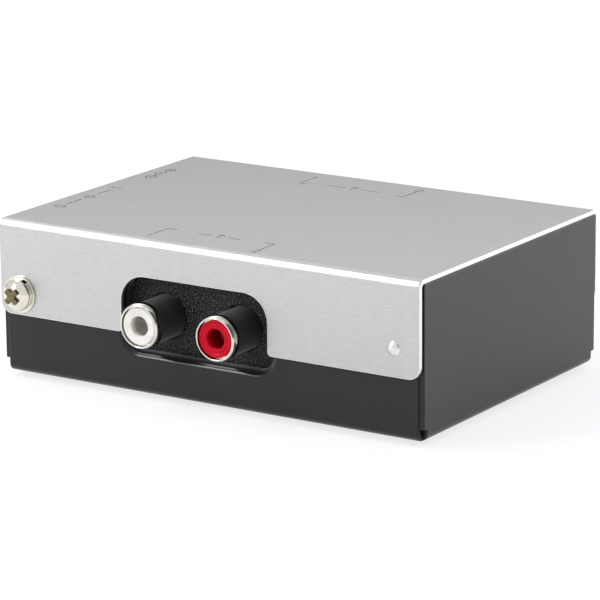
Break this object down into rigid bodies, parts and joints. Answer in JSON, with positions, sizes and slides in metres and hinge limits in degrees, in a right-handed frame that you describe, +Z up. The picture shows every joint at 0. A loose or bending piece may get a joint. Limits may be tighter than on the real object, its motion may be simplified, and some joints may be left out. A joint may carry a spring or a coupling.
{
  "type": "phono preamp",
  "caption": "Flat folded-metal phono preamp with phono jacks at both ends, a screw ground terminal, a slide power switch and a DC inlet.",
  "frame": {"origin": "middle of the whole part's footprint, on the surface that the feet rest on; the case itself is 0.7 mm towards +X of it, because only the switch side has a knob", "axes": "-Y out of the input end, +Y out of the output end, -X out of the switch side, +Z up"},
  "size_m": [0.0918, 0.0742, 0.03],
  "materials": {
    "tray_paint": "black baked paint on steel sheet, satin",
    "cover_aluminium": "fine brushed and clear anodised aluminium sheet",
    "grained_abs": "black ABS with a moulded leather-like grain",
    "barrel_abs": "smooth black ABS",
    "nickel_ring": "bright nickel plate",
    "white_insert": "white moulded nylon",
    "red_insert": "red moulded nylon",
    "contact_brass": "plain brass",
    "nickel_screw": "bright nickel plated steel",
    "zinc_steel": "zinc plated steel",
    "rivet_aluminium": "bright aluminium",
    "board_laminate": "green glass-epoxy laminate",
    "switch_plastic": "black moulded plastic",
    "tinned_pins": "tin plated brass",
    "inlet_plastic": "black moulded PBT",
    "chip_epoxy": "black moulded epoxy",
    "can_sleeve": "dark blue printed sleeve",
    "film_epoxy": "red-brown dipped epoxy",
    "resistor_lacquer": "blue lacquer",
    "foot_rubber": "black rubber, matt"
  },
  "bodies": {
    "case": {"tray": "tray_paint", "top_cover": "cover_aluminium", "input_jack_plate": "grained_abs", "output_jack_plate": "grained_abs", "input_jack_housing": "barrel_abs", "output_jack_housing": "barrel_abs", "input_left_ring": "nickel_ring", "input_right_ring": "nickel_ring", "output_left_ring": "nickel_ring", "output_right_ring": "nickel_ring", "input_left_insert": "white_insert", "input_right_insert": "red_insert", "output_left_insert": "white_insert", "output_right_insert": "red_insert", "input_contacts": "contact_brass", "output_contacts": "contact_brass", "ground_nut": "zinc_steel", "cover_rivet": "rivet_aluminium", "cover_screws": "zinc_steel", "cover_nuts": "zinc_steel", "circuit_board": "board_laminate", "board_posts": "contact_brass", "board_screws": "zinc_steel", "power_switch_shell": "zinc_steel", "power_switch_pins": "tinned_pins", "dc_inlet_body": "inlet_plastic", "dc_inlet_pin": "tinned_pins", "dc_inlet_tags": "tinned_pins", "op_amps": "chip_epoxy", "electrolytic_capacitors": "can_sleeve", "film_capacitors": "film_epoxy", "resistors": "resistor_lacquer", "voltage_regulator": "chip_epoxy", "supply_diode": "chip_epoxy", "rubber_feet": "foot_rubber"},
    "switch_knob": {"power_switch_slider": "switch_plastic"},
    "terminal_washers": {"ground_flat_washer": "nickel_screw", "ground_spring_washer": "nickel_screw"},
    "terminal_screw": {"ground_screw": "nickel_screw"}
  },
  "joints": [
    {"name": "switch_slide", "type": "slide", "parent": "case", "child": "switch_knob", "axis": [0, 1, 0], "range_m": [0, 0.002]},
    {"name": "terminal_lift", "type": "slide", "parent": "case", "child": "terminal_washers", "axis": [0, -1, 0], "range_m": [0, 0.002]},
    {"name": "terminal_turn", "type": "hinge", "parent": "terminal_washers", "child": "terminal_screw", "pos_m": [-0.03995, -0.03175, 0.0163], "axis": [0, -1, 0], "range_deg": [0, 1440]}
  ],
  "couplings": [
    {"joint": "terminal_turn", "follows": "terminal_lift", "rad_per_m": 12566}
  ]
}
